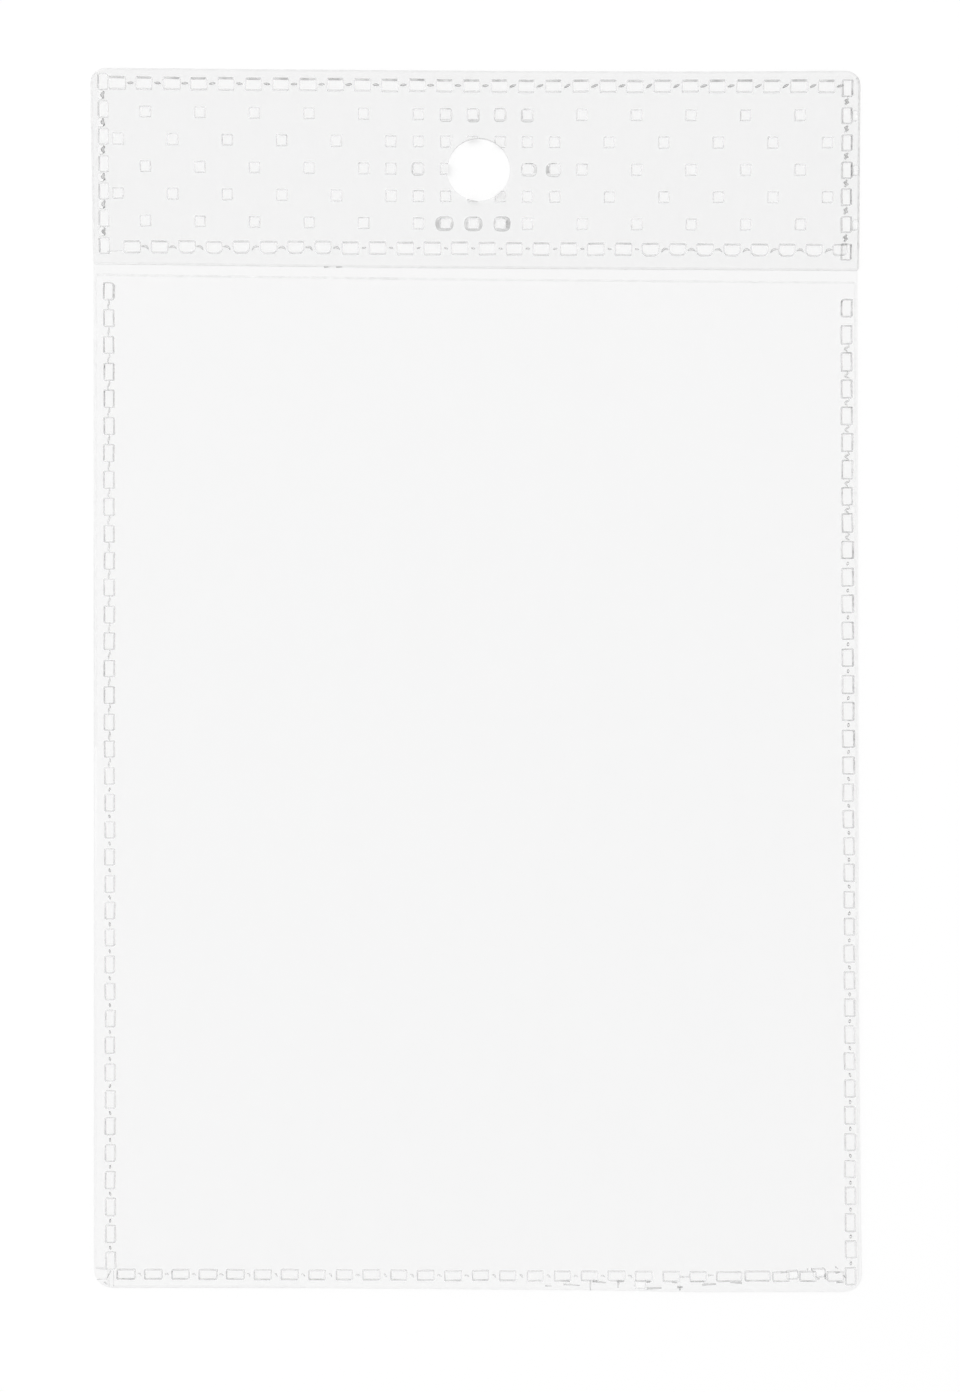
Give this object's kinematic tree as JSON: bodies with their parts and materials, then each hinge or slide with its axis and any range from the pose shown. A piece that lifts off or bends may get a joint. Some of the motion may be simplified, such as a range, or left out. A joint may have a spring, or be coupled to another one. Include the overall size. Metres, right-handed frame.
{
  "type": "label protector pocket",
  "caption": "Flat clear film pocket, open at the top, with a welded header strip and a round hang hole; keeps a hanging label clean and readable.",
  "frame": {"origin": "middle of the back film's underside, on the surface that the pocket lies on", "axes": "+X to the right seen from the front, +Y towards the header and its hang hole, +Z out of the front face"},
  "size_m": [0.116, 0.185, 0.0011],
  "materials": {
    "back_film": "clear film, smooth and glossy",
    "front_film": "clear film, smooth and glossy",
    "header_film": "clear film, slightly hazy, embossed with small square spot welds",
    "pocket_weld": "fused clear film, pressed flat",
    "header_weld": "fused clear film, pressed flat"
  },
  "bodies": {
    "root": {"back_sheet": "back_film", "front_sheet": "front_film", "header_strip": "header_film", "left_seam": "pocket_weld", "right_seam": "pocket_weld", "bottom_seam": "pocket_weld", "header_top_seam": "header_weld", "header_lower_seam": "header_weld", "header_left_seam": "header_weld", "header_right_seam": "header_weld"}
  },
  "joints": []
}
